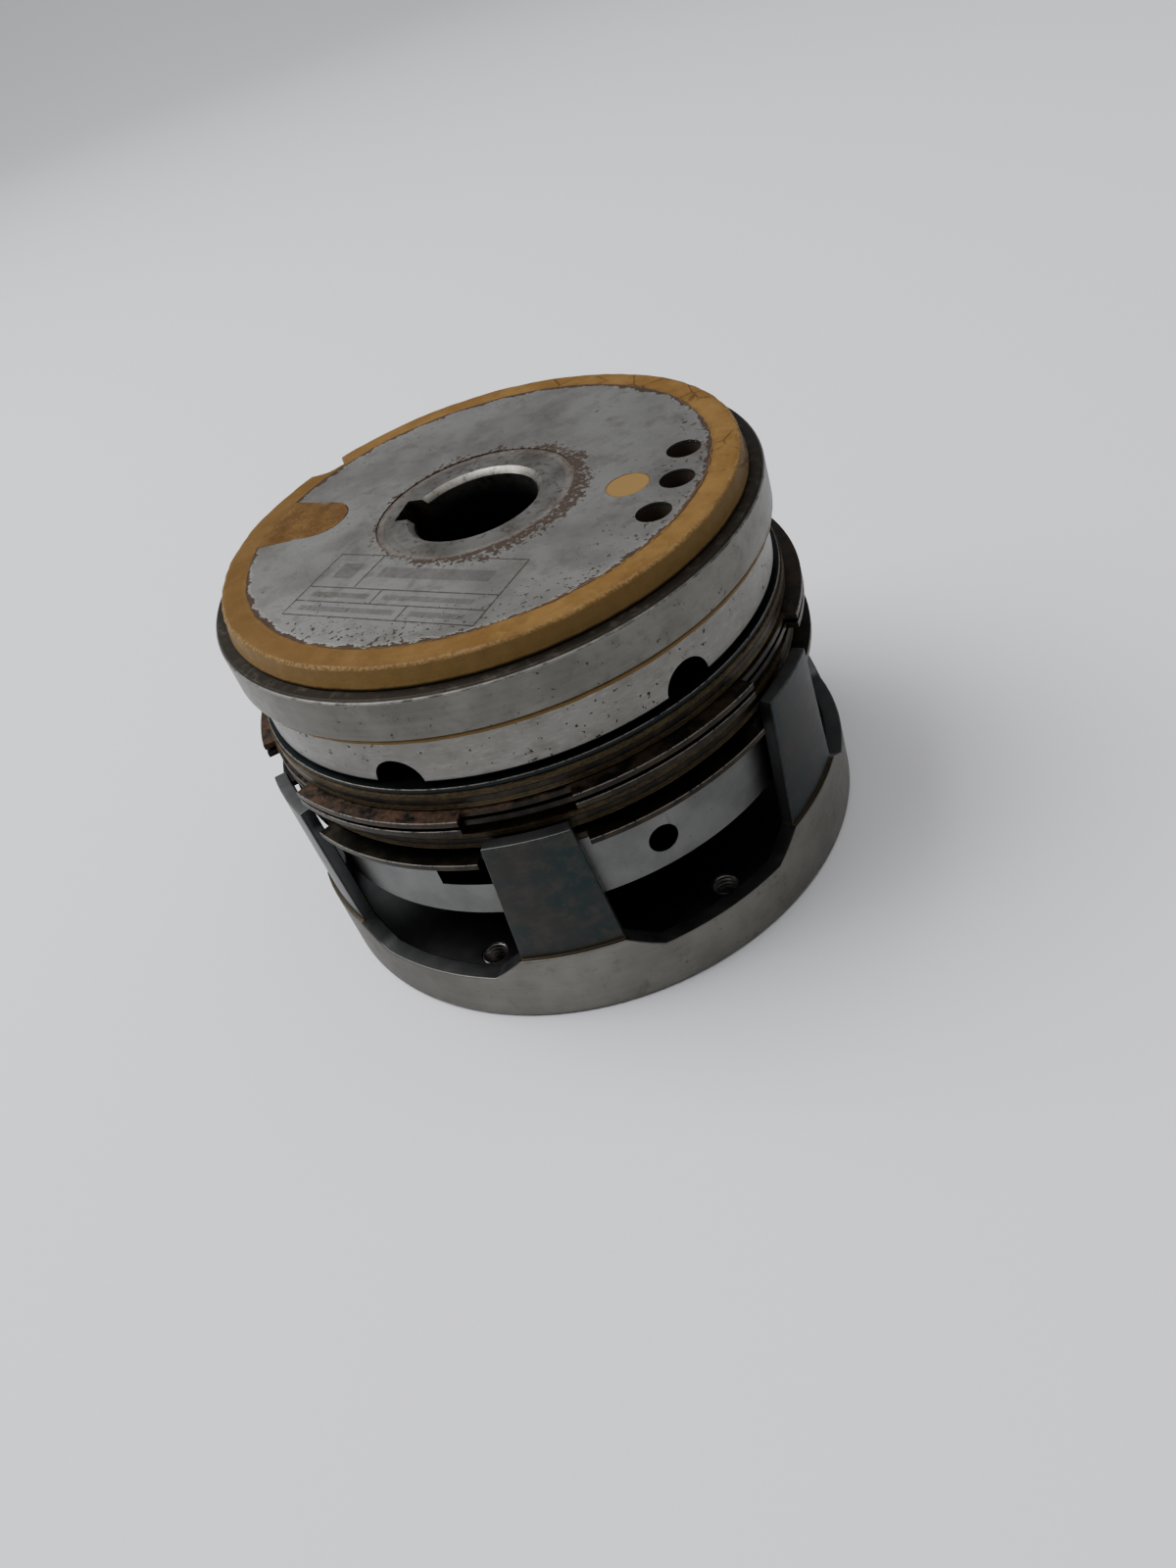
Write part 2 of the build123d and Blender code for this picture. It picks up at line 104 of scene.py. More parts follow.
class Value:
    """A shader value; arithmetic on it adds Math nodes to its own material."""

    def __init__(self, finish, socket):
        self.finish = finish
        self.socket = socket

    def math(self, operation, first, second):
        return self.finish.node("Math", {"operation": operation}, {0: first, 1: second})

    def __add__(self, other):
        return self.math("ADD", self, other)

    def __sub__(self, other):
        return self.math("SUBTRACT", self, other)

    def __rsub__(self, other):
        return self.math("SUBTRACT", other, self)

    def __mul__(self, other):
        return self.math("MULTIPLY", self, other)

    __radd__ = __add__
    __rmul__ = __mul__


class Finish:
    """One procedural material. Sizes in it are millimetres and come from Object coordinates."""

    def __init__(self, name, **constants):
        self.material = bpy.data.materials.new(name)
        self.material.use_nodes = True
        self.tree = self.material.node_tree
        self.shader = self.tree.nodes["Principled BSDF"]
        for socket, value in constants.items():
            self.shader.inputs[socket.replace("_", " ")].default_value = value
        place = self.node("TexCoord", output="Object")
        self.place = self.node("VectorMath", {"operation": "SCALE"}, {0: place, "Scale": 1000.0})
        self.x = self.node("SeparateXYZ", inputs={0: self.place})
        self.y = Value(self, self.x.socket.node.outputs["Y"])
        self.z = Value(self, self.x.socket.node.outputs["Z"])
        flat = self.node("VectorMath", {"operation": "MULTIPLY"}, {0: self.place, 1: (1, 1, 0)})
        self.radius = self.node("VectorMath", {"operation": "LENGTH"}, {0: flat}, "Value")
        self.spoke = self.node("VectorMath", {"operation": "NORMALIZE"}, {0: flat})

    def node(self, kind, settings=None, inputs=None, output=0):
        """Adds any shader node: its type, its settings, then the values or links of its sockets."""
        made = self.tree.nodes.new("ShaderNode" + kind)
        for key, value in (settings or {}).items():
            setattr(made, key, value)
        for key, value in (inputs or {}).items():
            self.plug(value, made.inputs[key])
        return Value(self, made.outputs[output])

    def plug(self, value, socket):
        """Links a value to a socket, or sets the socket to a number or a colour."""
        if isinstance(value, Value):
            self.tree.links.new(value.socket, socket)
        elif socket.type == "RGBA":
            socket.default_value = (*value, 1.0)
        else:
            socket.default_value = value

    def noise(self, per_mm, detail=3.0, rough=0.55, stretch=(1, 1, 1)):
        """Noise from 0 to 1 whose features are about 1 / per_mm wide, stretched along the axes."""
        place = self.node("VectorMath", {"operation": "MULTIPLY"}, {0: self.place, 1: stretch})
        return self.node("TexNoise", inputs={"Vector": place, "Scale": per_mm, "Detail": detail,
                                             "Roughness": rough})

    def lathe(self, per_mm, around=1.2, detail=2.0):
        """Turning marks: noise that changes with radius and height, and only slowly round the axis."""
        spoke = self.node("VectorMath", {"operation": "SCALE"}, {0: self.spoke, "Scale": around})
        line = self.node("CombineXYZ", inputs={"Z": (self.radius + self.z) * per_mm})
        place = self.node("VectorMath", {"operation": "ADD"}, {0: spoke, 1: line})
        return self.node("TexNoise", inputs={"Vector": place, "Scale": 1.0, "Detail": detail})

    def step(self, value, low, high):
        """Smooth rise from 0 at low to 1 at high; low above high makes it a fall."""
        if low > high:
            return 1.0 - self.step(value, high, low)
        return self.node("MapRange", {"interpolation_type": "SMOOTHSTEP"},
                         {"Value": value, "From Min": low, "From Max": high})

    def most(self, first, second):
        """The larger of two values."""
        return self.node("Math", {"operation": "MAXIMUM"}, {0: first, 1: second})

    def band(self, value, low, high, soft):
        """One between low and high, falling to 0 over a soft edge outside them."""
        return self.step(value, low - soft, low) * self.step(value, high + soft, high)

    def away(self, x, y):
        """Distance from an upright line at x and y."""
        aside = self.node("CombineXYZ", inputs={"X": self.x - x, "Y": self.y - y})
        return self.node("VectorMath", {"operation": "LENGTH"}, {0: aside}, "Value")

    def tint(self, amount, first, second):
        """Colour that goes from the first to the second with an amount from 0 to 1."""
        mix = self.node("Mix", {"data_type": "RGBA"}, {"Factor": amount}, 2)
        self.plug(first, mix.socket.node.inputs[6])
        self.plug(second, mix.socket.node.inputs[7])
        return mix

    def done(self, colour, roughness, metallic=None, height=None, depth=0.05):
        """Links what varies to the shader; height is relief from 0 to 1 and depth its size in mm."""
        self.plug(colour, self.shader.inputs["Base Color"])
        self.plug(roughness, self.shader.inputs["Roughness"])
        if metallic is not None:
            self.plug(metallic, self.shader.inputs["Metallic"])
        if height is not None:
            relief = self.node("Bump", inputs={"Height": height, "Distance": depth * MM})
            self.plug(relief, self.shader.inputs["Normal"])
        return self.material


# Sweep of pale matt paper that the clutch stands on; it curves up behind it.
FLOOR_SINK = 0.05 * MM
FLOOR_HALF = 4.0
COVE_START = 1.2
COVE_R = 1.0
WALL_TOP = 3.5


def swept_grid(rows, columns, wrap_rows=False, wrap_columns=False):
    """Quads of a grid of vertices, joined to its own start in either direction if asked."""
    i = np.arange(rows if wrap_rows else rows - 1)
    j = np.arange(columns if wrap_columns else columns - 1)
    i, j = np.meshgrid(i, j, indexing="ij")
    near, far = i * columns, (i + 1) % rows * columns
    here, beyond = j, (j + 1) % columns
    return np.stack([near + here, far + here, far + beyond, near + beyond], -1).reshape(-1, 4)


def bare_mesh(name, vertices, faces, material):
    """A smooth object at the origin from vertex and face arrays."""
    mesh = bpy.data.meshes.new(name)
    mesh.from_pydata(vertices.tolist(), [], faces.tolist())
    mesh.shade_smooth()
    mesh.materials.append(material)
    piece = bpy.data.objects.new(name, mesh)
    bpy.context.scene.collection.objects.link(piece)
    return piece


arc = np.linspace(0, np.pi / 2, 25)
along = np.concatenate([[-FLOOR_HALF], COVE_START + COVE_R * np.sin(arc), [COVE_START + COVE_R]])
rise = np.concatenate([[0], COVE_R - COVE_R * np.cos(arc), [WALL_TOP]]) - FLOOR_SINK
across = np.array([-FLOOR_HALF, FLOOR_HALF])[:, None]
sweep = np.stack(np.broadcast_arrays(across, along, rise), -1).reshape(-1, 3)
paper = Finish("pale_paper")
bare_mesh("paper", sweep, swept_grid(2, along.size), paper.done((0.735, 0.74, 0.765), 0.75))

# Driver: one turned ring, hardened blue-black all over; then the rim of its base was ground bright.
# Six fingers stand on it, and six M5 holes in its inner flange take the screws of the driven part.
RING_R = 47.5
FINGER_R = 46.8
FOOT_Z = 13.1
FINGER_TOP = 36.4
FLANGE_TOP = 5.0
BOLT_CIRCLE_R = 39.0
BOLT_R = 2.1
BOLT_AZIMUTH = radians(-126.0)
BOLT_COUNT = 6
THREAD_PITCH = 0.8
THREAD_DEPTH = 0.3
THREAD_SET_IN = 0.2
THREAD_WALL_R = BOLT_R + 0.06
THREAD_GROOVE_R = BOLT_R + 0.04


def eased(node, width, material, angle=35.0):
    """A copy of a CAD piece with its doubles merged and its sharp edges broken by a small bevel."""
    mesh = nodes[node].data.copy()
    work = bmesh.new()
    work.from_mesh(mesh)
    bmesh.ops.remove_doubles(work, verts=work.verts, dist=1e-7)
    bmesh.ops.dissolve_limit(work, angle_limit=radians(0.3), verts=work.verts, edges=work.edges)
    work.to_mesh(mesh)
    work.free()
    mesh.materials.clear()
    mesh.materials.append(material)
    mesh.shade_smooth()
    piece = bpy.data.objects.new(node + "_eased", mesh)
    bpy.context.scene.collection.objects.link(piece)
    bevel = piece.modifiers.new("broken_edges", "BEVEL")
    bevel.width = width * MM
    bevel.segments = 2
    bevel.limit_method = "ANGLE"
    bevel.angle_limit = radians(angle)
    bevel.harden_normals = True
    piece.modifiers.new("flat_faces", "WEIGHTED_NORMAL").keep_sharp = True
    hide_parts(node)
    return piece


def paint(node, material):
    """Gives a CAD piece that is shown as it is its material."""
    nodes[node].data.materials.clear()
    nodes[node].data.materials.append(material)


ring = Finish("driver_steel")
cloud = ring.noise(0.10, 4)
blotch = ring.noise(0.3, 5, 0.65)
fine = ring.noise(1.6, 4, 0.6)
marks = ring.lathe(1.8, 2.0, 3)
ground_rim = ring.step(ring.radius, RING_R - 0.28, RING_R - 0.10)
ground_rim = ring.most(ground_rim, ring.step(ring.z, 0.15, 0.05))
worn = ring.step(ring.z + (fine - 0.5) * 0.5, FINGER_TOP - 0.28, FINGER_TOP - 0.02) * 0.6
ground = ring.tint(ring.step(cloud, 0.35, 0.65), (0.175, 0.170, 0.150), (0.130, 0.125, 0.108))
ground = ring.tint(marks * 0.35, ground, (0.235, 0.228, 0.205))
ground = ring.tint(ring.step(blotch, 0.58, 0.75) * 0.5, ground, (0.080, 0.068, 0.054))
ground = ring.tint(ring.step(fine + blotch * 0.3, 0.82, 0.88) * 0.6, ground, (0.05, 0.04, 0.03))
# Painted shade: the ground rim is darkened towards its left side, against the window light from the left.
ground = ring.tint(ring.step(ring.x, -20.0, -42.0) * 0.85, ground, (0.070, 0.065, 0.054))
outside = ring.step(ring.radius, FINGER_R - 0.5, FINGER_R - 0.2) * ring.step(ring.z, FOOT_Z - 0.6, FOOT_Z)
blued = ring.tint(ring.step(cloud, 0.3, 0.7), (0.014, 0.024, 0.026), (0.028, 0.027, 0.025))
blued = ring.tint(ring.step(blotch, 0.40, 0.78) * 0.75, blued, (0.054, 0.045, 0.036))
blued = ring.tint(ring.step(fine, 0.66, 0.72) * 0.35, blued, (0.080, 0.075, 0.070))
heat = ring.step(ring.z + (blotch - 0.5) * 1.5, FOOT_Z + 1.1, FOOT_Z + 0.1)
blued = ring.tint(heat * 0.6, blued, (0.055, 0.038, 0.020))
inner = ring.tint(blotch, (0.034, 0.038, 0.041), (0.075, 0.073, 0.070))
steel = ring.tint(outside, inner, blued)
steel = ring.tint(worn, steel, (0.13, 0.135, 0.13))
steel = ring.tint(ground_rim, steel, ground)
driver = eased("driver_ring", 0.25, ring.done(
    steel, 0.30 + blotch * 0.22 + ground_rim * 0.12, metallic=0.95,
    height=marks * 0.4 + blotch * 0.4, depth=0.04))
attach(driver, "driver")


def threads():
    """Walls of the six tapped holes. Each is a tube whose inner radius is least on a ridge that climbs one
    pitch per turn, as a triangle wave of height over pitch less turn; its outer wall lies in the steel."""
    turn = np.linspace(0, 2 * np.pi, 48, endpoint=False)
    level = np.linspace(THREAD_SET_IN, FLANGE_TOP - THREAD_SET_IN, 66)[:, None]
    phase = (level / THREAD_PITCH - turn / (2 * np.pi)) % 1.0
    inner_r = THREAD_GROOVE_R - THREAD_DEPTH * (1 - np.abs(2 * phase - 1))
    radius = np.concatenate([inner_r, np.full((2, turn.size), THREAD_WALL_R)])
    height = np.concatenate([level, level[-1:], level[:1]]) + 0 * radius
    azimuth = (BOLT_AZIMUTH + np.arange(BOLT_COUNT) * 2 * np.pi / BOLT_COUNT)[:, None, None]
    x = BOLT_CIRCLE_R * np.cos(azimuth) + radius * np.cos(turn)
    y = BOLT_CIRCLE_R * np.sin(azimuth) + radius * np.sin(turn)
    rows = radius.shape[0]
    faces = swept_grid(rows, turn.size, True, True)
    faces = faces + (np.arange(BOLT_COUNT) * rows * turn.size)[:, None, None]
    return np.stack([x, y, height + 0 * x], -1).reshape(-1, 3) * MM, faces.reshape(-1, 4)


cut = Finish("cut_thread", Metallic=1.0)
crest = cut.noise(0.8, 3)
steel = cut.tint(crest, (0.62, 0.60, 0.57), (0.30, 0.28, 0.25))
# Painted shade: the thread walls darken towards black deeper below the flange top.
steel = cut.tint(cut.step(cut.z, FLANGE_TOP - 1.0, FLANGE_TOP - 4.2) * 0.8, steel, (0.02, 0.02, 0.02))
tapped = bare_mesh("flange_threads", *threads(), cut.done(steel, 0.30))
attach(tapped, "driver")

# Hub: one turned steel bar, bored and keyed for the shaft, splined for the discs, threaded for the nut.
# The magnet body is pressed on its plain neck, so only its end ring and bore show in the front face.
NECK_R = 15.9
BORE_R = 10.0
low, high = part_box("hub")
hub_top = high.z / MM

bar = Finish("hub_steel", Specular_IOR_Level=0.15)
cloud = bar.noise(0.16, 4)
marks = bar.lathe(3.0)
grime = bar.noise(0.9, 5, 0.65)
# Painted shade: inside the bore the steel darkens to near black from 0.8 to 5 mm below the top of the hub.
painted_bore_shade = bar.step(bar.z, hub_top - 0.8, hub_top - 5.0) * bar.step(bar.radius, 13.5, 13.2)
key_wall = bar.step(bar.radius, BORE_R + 0.3, BORE_R + 0.6) * bar.step(bar.radius, 13.4, 13.1)
key_wall = key_wall * bar.step(bar.z, hub_top - 0.2, hub_top - 0.9)
joint = bar.step(bar.radius + (grime - 0.5) * 3.0, NECK_R - 1.5, NECK_R - 0.2)
steel = bar.tint(bar.step(cloud, 0.35, 0.7), (0.250, 0.243, 0.222), (0.140, 0.132, 0.116))
steel = bar.tint(bar.step(grime, 0.50, 0.66) * 0.75, steel, (0.075, 0.055, 0.040))
steel = bar.tint(joint * 0.75, steel, (0.06, 0.04, 0.03))
steel = bar.tint(painted_bore_shade, steel, (0.022, 0.024, 0.026))
steel = bar.tint(key_wall * bar.step(grime, 0.3, 0.55), steel, (0.13, 0.070, 0.038))
hub_piece = eased("hub", 0.25, bar.done(steel, 0.34 + marks * 0.15 + joint * 0.2, metallic=1.0 - joint * 0.6,
                                      height=marks * 0.3 + grime * 0.5, depth=0.05))
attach(hub_piece, "rotor")

# Adjusting nut, its grub screw and the snap ring: oil-blackened steel on the threaded end of the hub.
# The nut sets how far the armature falls back; the snap ring lies in a groove below it.
for node in ("adjusting_nut", "nut_lock_screw", "snap_ring"):
    black = Finish(node + "_oil_black", Metallic=0.9)
    scuff = black.noise(0.35, 4)
    steel = black.tint(black.step(scuff, 0.4, 0.7), (0.025, 0.025, 0.026), (0.055, 0.050, 0.045))
    paint(node, black.done(steel, 0.36 + scuff * 0.2, height=black.lathe(2.0), depth=0.03))

# Armature: ground steel ring on the hub's spline, which the magnet draws up against the discs.
# Three holes in its rim take a pin spanner, and three slots are milled in its upper edge.
low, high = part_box("armature_ring")
armature_r = high.x / MM

plate = Finish("armature_steel", Metallic=1.0)
cloud = plate.noise(0.12, 4)
grind = plate.noise(1.0, 4, 0.6, (1.2, 1.2, 6.0))
speck = plate.noise(1.2, 3, 0.6)
rim_side = plate.step(plate.radius + (speck - 0.5) * 0.2, armature_r - 0.22, armature_r - 0.05)
steel = plate.tint(plate.step(cloud, 0.35, 0.65), (0.136, 0.136, 0.130), (0.092, 0.092, 0.088))
steel = plate.tint(grind * 0.3, steel, (0.195, 0.196, 0.191))
steel = plate.tint(plate.step(speck + cloud * 0.1, 0.74, 0.78) * 0.8, steel, (0.06, 0.04, 0.03))
steel = plate.tint(rim_side, (0.02, 0.02, 0.021), steel)
armature = eased("armature_ring", 0.3, plate.done(steel, 0.36 + grind * 0.15, height=grind, depth=0.02))
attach(armature, "armature")

# Return springs: three, coiled from spring wire with close end turns, in the hub's round grooves.
# They stand between the armature's tabs and the magnet's pole; the real springs are squeezed as the armature
# rises, but these keep one length.
GROOVE_CIRCLE_R = 21.6
SPRING_AZIMUTH = radians(45.0)
SPRING_COUNT = 3
COIL_R = 2.0
WIRE_R = 0.4
COIL_TURNS = 9
END_PITCH_SHARE = 0.3
CLOSE_TURNS = 0.8
OPENING_TURNS = 0.4
STEPS_PER_TURN = 40
SPRING_GAP = 0.02
low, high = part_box("return_springs")
spring_foot = low.z / MM + SPRING_GAP
spring_head = high.z / MM - SPRING_GAP
spring_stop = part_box("magnet_body")[0].z
slide_travel = next(j["range_m"][1] for j in frame["joints"] if j["name"] == "armature_slide")


def coiled_wires():
    """Round wires carried along helices. The rise per turn is least in the first and last turn. The section
    lies on the radial direction and the one square to it and the wire, and ends in a point at both ends."""
    turn = np.linspace(0, 2 * np.pi * COIL_TURNS, STEPS_PER_TURN * COIL_TURNS + 1)
    from_end = np.minimum(turn, turn[-1] - turn) / (2 * np.pi)
    share = np.clip(from_end - CLOSE_TURNS, 0, OPENING_TURNS) / OPENING_TURNS
    share = END_PITCH_SHARE + (1 - END_PITCH_SHARE) * share
    climb = np.concatenate([[0], np.cumsum(share[1:] + share[:-1])])
    rise = spring_foot + WIRE_R + climb / climb[-1] * (spring_head - spring_foot - 2 * WIRE_R)
    radial = np.stack([np.cos(turn), np.sin(turn), 0 * turn], -1)
    line = COIL_R * radial + rise[:, None] * np.array([0, 0, 1])
    ahead = np.gradient(line, axis=0)
    ahead /= np.linalg.norm(ahead, axis=1, keepdims=True)
    square = np.cross(ahead, radial)
    line = np.concatenate([line[:1], line, line[-1:]])
    radial = np.concatenate([radial[:1], radial, radial[-1:]])
    square = np.concatenate([square[:1], square, square[-1:]])
    thick = np.full(line.shape[0], WIRE_R)
    thick[[0, -1]] = 0
    around = np.linspace(0, 2 * np.pi, 12, endpoint=False)[:, None]
    section = radial[:, None] * np.cos(around) + square[:, None] * np.sin(around)
    coil = (line[:, None] + thick[:, None, None] * section).reshape(-1, 3)
    azimuth = (SPRING_AZIMUTH + np.arange(SPRING_COUNT) * 2 * np.pi / SPRING_COUNT)[:, None]
    middle = GROOVE_CIRCLE_R * np.stack([np.cos(azimuth), np.sin(azimuth), 0 * azimuth], -1)
    faces = swept_grid(line.shape[0], around.size, False, True)
    faces = faces + (np.arange(SPRING_COUNT) * coil.shape[0])[:, None, None]
    return (middle + coil).reshape(-1, 3) * MM, faces.reshape(-1, 4)[:, ::-1]


wire = Finish("spring_wire", Metallic=1.0)
tarnish = wire.noise(1.5)
springs = bare_mesh("wound_springs", *coiled_wires(), wire.done(
    wire.tint(tarnish, (0.10, 0.10, 0.10), (0.24, 0.23, 0.22)), 0.36 + tarnish * 0.1))
work = bmesh.new()
work.from_mesh(springs.data)
bmesh.ops.remove_doubles(work, verts=work.verts, dist=1e-8)
work.to_mesh(springs.data)
work.free()
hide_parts("return_springs")
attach(springs, "rotor")
1 - slide_travel / (spring_stop - low.z)
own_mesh(springs)

# Disc pack: steel discs with lugs for the driver, and thick lined discs on the hub's spline.
# They are oily and brown from heat, rusty on top of the first lugs, and worn bright along their edges, where
# a highlight is also painted.
POLE_DISC_R = 43.2
LUG_R = 46.0
LUG_TOP_R = 43.6
rims = {}
for node in ("pole_disc", "outer_disc_1", "outer_disc_2", "outer_disc_3"):
    low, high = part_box(node)
    rims[node] = (low.z / MM, high.z / MM, POLE_DISC_R if node == "pole_disc" else LUG_R)

oily = Finish("disc_steel", Specular_IOR_Level=0.2)
blotch = oily.noise(0.35, 5, 0.65)
fine = oily.noise(1.6, 4, 0.6)
marks = oily.lathe(2.5)
# Wear and painted highlight: a bright line along the top of each disc's outer rim, broken by noise.
edge = 0.0
for bottom, top, outer in rims.values():
    at_rim = oily.step(oily.radius, outer - 0.16, outer - 0.08)
    edge = oily.most(edge, oily.band(oily.z, top - 0.10, top, 0.06) * at_rim)
edge = edge * oily.step(fine + blotch * 0.4, 0.5, 0.72)
first_top = rims["outer_disc_1"][1]
red = oily.band(oily.z, first_top - 0.3, first_top, 0.15) * oily.step(oily.radius, LUG_TOP_R - 0.4, LUG_TOP_R)
red = red * oily.step(blotch, 0.35, 0.6) * (oily.step(oily.x, 8.0, -14.0) * 0.75 + 0.25)
dark = oily.tint(oily.step(blotch, 0.4, 0.65), (0.018, 0.017, 0.015), (0.040, 0.032, 0.022))
pole_z = rims["pole_disc"][0] - 0.3
dark = oily.tint(oily.step(oily.z, pole_z - 0.1, pole_z + 0.1) * 0.8, dark, (0.013, 0.019, 0.022))
flash_rust = oily.tint(oily.step(fine, 0.4, 0.6), (0.030, 0.016, 0.009), (0.070, 0.031, 0.015))
dark = oily.tint(red * 0.85, dark, flash_rust)
dark = oily.tint(edge * 0.8, dark, (0.20, 0.18, 0.155))
disc_material = oily.done(dark, 0.32 + blotch * 0.25 + red * 0.25, metallic=0.95 - red * 0.85,
                       height=marks * 0.3 + blotch * 0.5, depth=0.05)

lining_box = [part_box(f"disc_linings_{i}") for i in (1, 2)]
fibre = Finish("friction_lining", Specular_IOR_Level=0.15)
grain = fibre.noise(1.4, 4, 0.7, (1, 1, 3))
blotch = fibre.noise(0.3, 4)
# Painted light: each lining is lighter along its lower edge, as light falls there below its shaded top.
painted_light_low_edge = 0.0
for low, high in lining_box:
    painted_light_low_edge = fibre.most(painted_light_low_edge, fibre.band(fibre.z, low.z / MM, low.z / MM + 0.16, 0.1))
brown = fibre.tint(fibre.step(grain, 0.4, 0.62), (0.026, 0.018, 0.009), (0.066, 0.046, 0.019))
brown = fibre.tint(fibre.step(blotch, 0.5, 0.7) * 0.6, brown, (0.075, 0.060, 0.024))
brown = fibre.tint(painted_light_low_edge * fibre.step(blotch + grain * 0.3, 0.45, 0.75) * 0.7, brown, (0.14, 0.115, 0.065))
lining_material = fibre.done(brown, 0.5 + grain * 0.2, height=grain, depth=0.06)
for node in ["pole_disc"] + [f"inner_disc_{i}" for i in (1, 2)] + [f"outer_disc_{i}" for i in (1, 2, 3)]:
    disc = eased(node, 0.1, disc_material)
    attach(disc, node)
for i in (1, 2):
    lining = eased(f"disc_linings_{i}", 0.1, lining_material)
    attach(lining, f"inner_disc_{i}")

# Magnet body: a pot of mild steel with the coil inside, turned all over and drilled to balance.
# Its front face is stained, and pitted near the rim; a plain frame with bars is etched in it.
PLATE_MIDDLE = (-13.6, -18.2)
PLATE_TURN = radians(-41.5)
PLATE_HALF = 17.2
PLATE_ROWS = (7.6, -0.8, -4.3, -7.7)
PLATE_DIVIDERS = ((-8.7, 0), (-3.2, 1), (3.8, 2))
PLATE_BARS = ((-6.5, 13.5, 2.2, 4.6), (-15.2, -4.6, -3.1, -2.1), (-1.8, 14.0, -3.1, -2.1),
              (-15.2, 2.4, -6.5, -5.5), (5.2, 14.5, -6.5, -5.5), (-14.6, -11.0, 1.6, 5.2))
PLATE_LINE = 0.10
HOLE_INNER_R = 28.5
low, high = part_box("magnet_body")
body_r = high.x / MM
face_z = high.z / MM
pole_face_z = low.z / MM

pot = Finish("magnet_steel", Specular_IOR_Level=0.12)
cloud = pot.noise(0.07, 4)
blotch = pot.noise(0.3, 5, 0.6)
fine = pot.noise(1.3, 5, 0.7)
streak = pot.noise(0.5, 4, 0.6, (1, 1, 5))
marks = pot.lathe(2.2)
on_face = pot.step(pot.z, face_z - 0.5, face_z - 0.2)
speck = pot.noise(1.15, 3, 0.6)
dense = pot.noise(0.12, 2)
front = pot.step(pot.y - pot.x * 0.4, 6.0, -14.0)
rim = pot.step(pot.radius, 25.0, 36.5) * on_face * front
pits = pot.step(speck + dense * 0.20 + rim * 0.095 - on_face * 0.012, 0.763, 0.805)
rim_rust = pot.step(pot.radius + (blotch - 0.5) * 3.0 + (fine - 0.5) * 2.0, 36.0, 37.0) * on_face
stained = pot.step(pot.x - pot.y, -8.0, 20.0)
bore_stain = pot.radius + (blotch - 0.5) * 7.0 + (fine - 0.5) * 9.0 - stained * 2.4
bore_stain = pot.step(bore_stain, 17.0, 15.2) * on_face * (pot.step(speck, 0.34, 0.60) * 0.75 + 0.25)
along = (pot.x - PLATE_MIDDLE[0]) * cos(PLATE_TURN) + (pot.y - PLATE_MIDDLE[1]) * sin(PLATE_TURN)
across = (pot.y - PLATE_MIDDLE[1]) * cos(PLATE_TURN) - (pot.x - PLATE_MIDDLE[0]) * sin(PLATE_TURN)
strokes = [(-PLATE_HALF, PLATE_HALF, row - PLATE_LINE, row + PLATE_LINE) for row in PLATE_ROWS]
strokes += [(end - PLATE_LINE, end + PLATE_LINE, PLATE_ROWS[-1], PLATE_ROWS[0])
            for end in (-PLATE_HALF, PLATE_HALF)]
strokes += [(place - PLATE_LINE, place + PLATE_LINE, PLATE_ROWS[row + 1], PLATE_ROWS[row])
            for place, row in PLATE_DIVIDERS]
etched = 0.0
for start, stop, bottom, top in strokes:
    etched = pot.most(etched, pot.band(along, start, stop, 0.09) * pot.band(across, bottom, top, 0.09))
bars = 0.0
for start, stop, bottom, top in PLATE_BARS:
    bars = pot.most(bars, pot.band(along, start, stop, 0.2) * pot.band(across, bottom, top, 0.2))
bars = bars * (pot.step(fine, 0.3, 0.6) * 0.22 + 0.26)
etched = pot.most(etched * pot.step(fine, 0.25, 0.5), bars) * on_face
rust = pot.most(pot.most(pits, rim_rust), bore_stain)
# Painted light: the front face gets a lighter steel than the side, standing in for the light it catches from
# above.
face = pot.tint(pot.step(cloud, 0.35, 0.68), (0.325, 0.322, 0.304), (0.205, 0.199, 0.183))
side = pot.tint(pot.step(cloud, 0.35, 0.68), (0.170, 0.166, 0.150), (0.130, 0.126, 0.112))
steel = pot.tint(on_face, side, face)
steel = pot.tint(pot.step(blotch, 0.46, 0.72) * 0.6, steel, (0.105, 0.097, 0.080))
steel = pot.tint(pot.step(streak, 0.5, 0.7) * 0.3, steel, (0.285, 0.280, 0.262))
steel = pot.tint(marks * 0.2, steel, (0.285, 0.283, 0.268))
steel = pot.tint(pot.step(fine, 0.6, 0.72) * 0.35, steel, (0.075, 0.066, 0.054))
brown_rust = pot.tint(fine, (0.018, 0.010, 0.006), (0.048, 0.026, 0.016))
steel = pot.tint(pot.step(rust, 0.12, 0.62) * 0.94, steel, brown_rust)
steel = pot.tint(etched * 0.85, steel, (0.06, 0.045, 0.035))
# Painted shade: the pole face underneath and the walls set in from the side in the lowest 5 mm are painted
# near black.
pole_face_shade = pot.step(pot.z, pole_face_z + 0.25, pole_face_z + 0.05)
notch_shade = pot.step(pot.radius, body_r - 0.35, body_r - 0.6)
notch_shade = notch_shade * pot.step(pot.z, pole_face_z + 5.0, pole_face_z + 4.4)
hole_wall = pot.step(pot.radius, HOLE_INNER_R, HOLE_INNER_R + 0.5) * pot.step(pot.radius, 36.9, 36.4)
hole_wall = hole_wall * pot.step(pot.z, face_z - 0.4, face_z - 1.0)
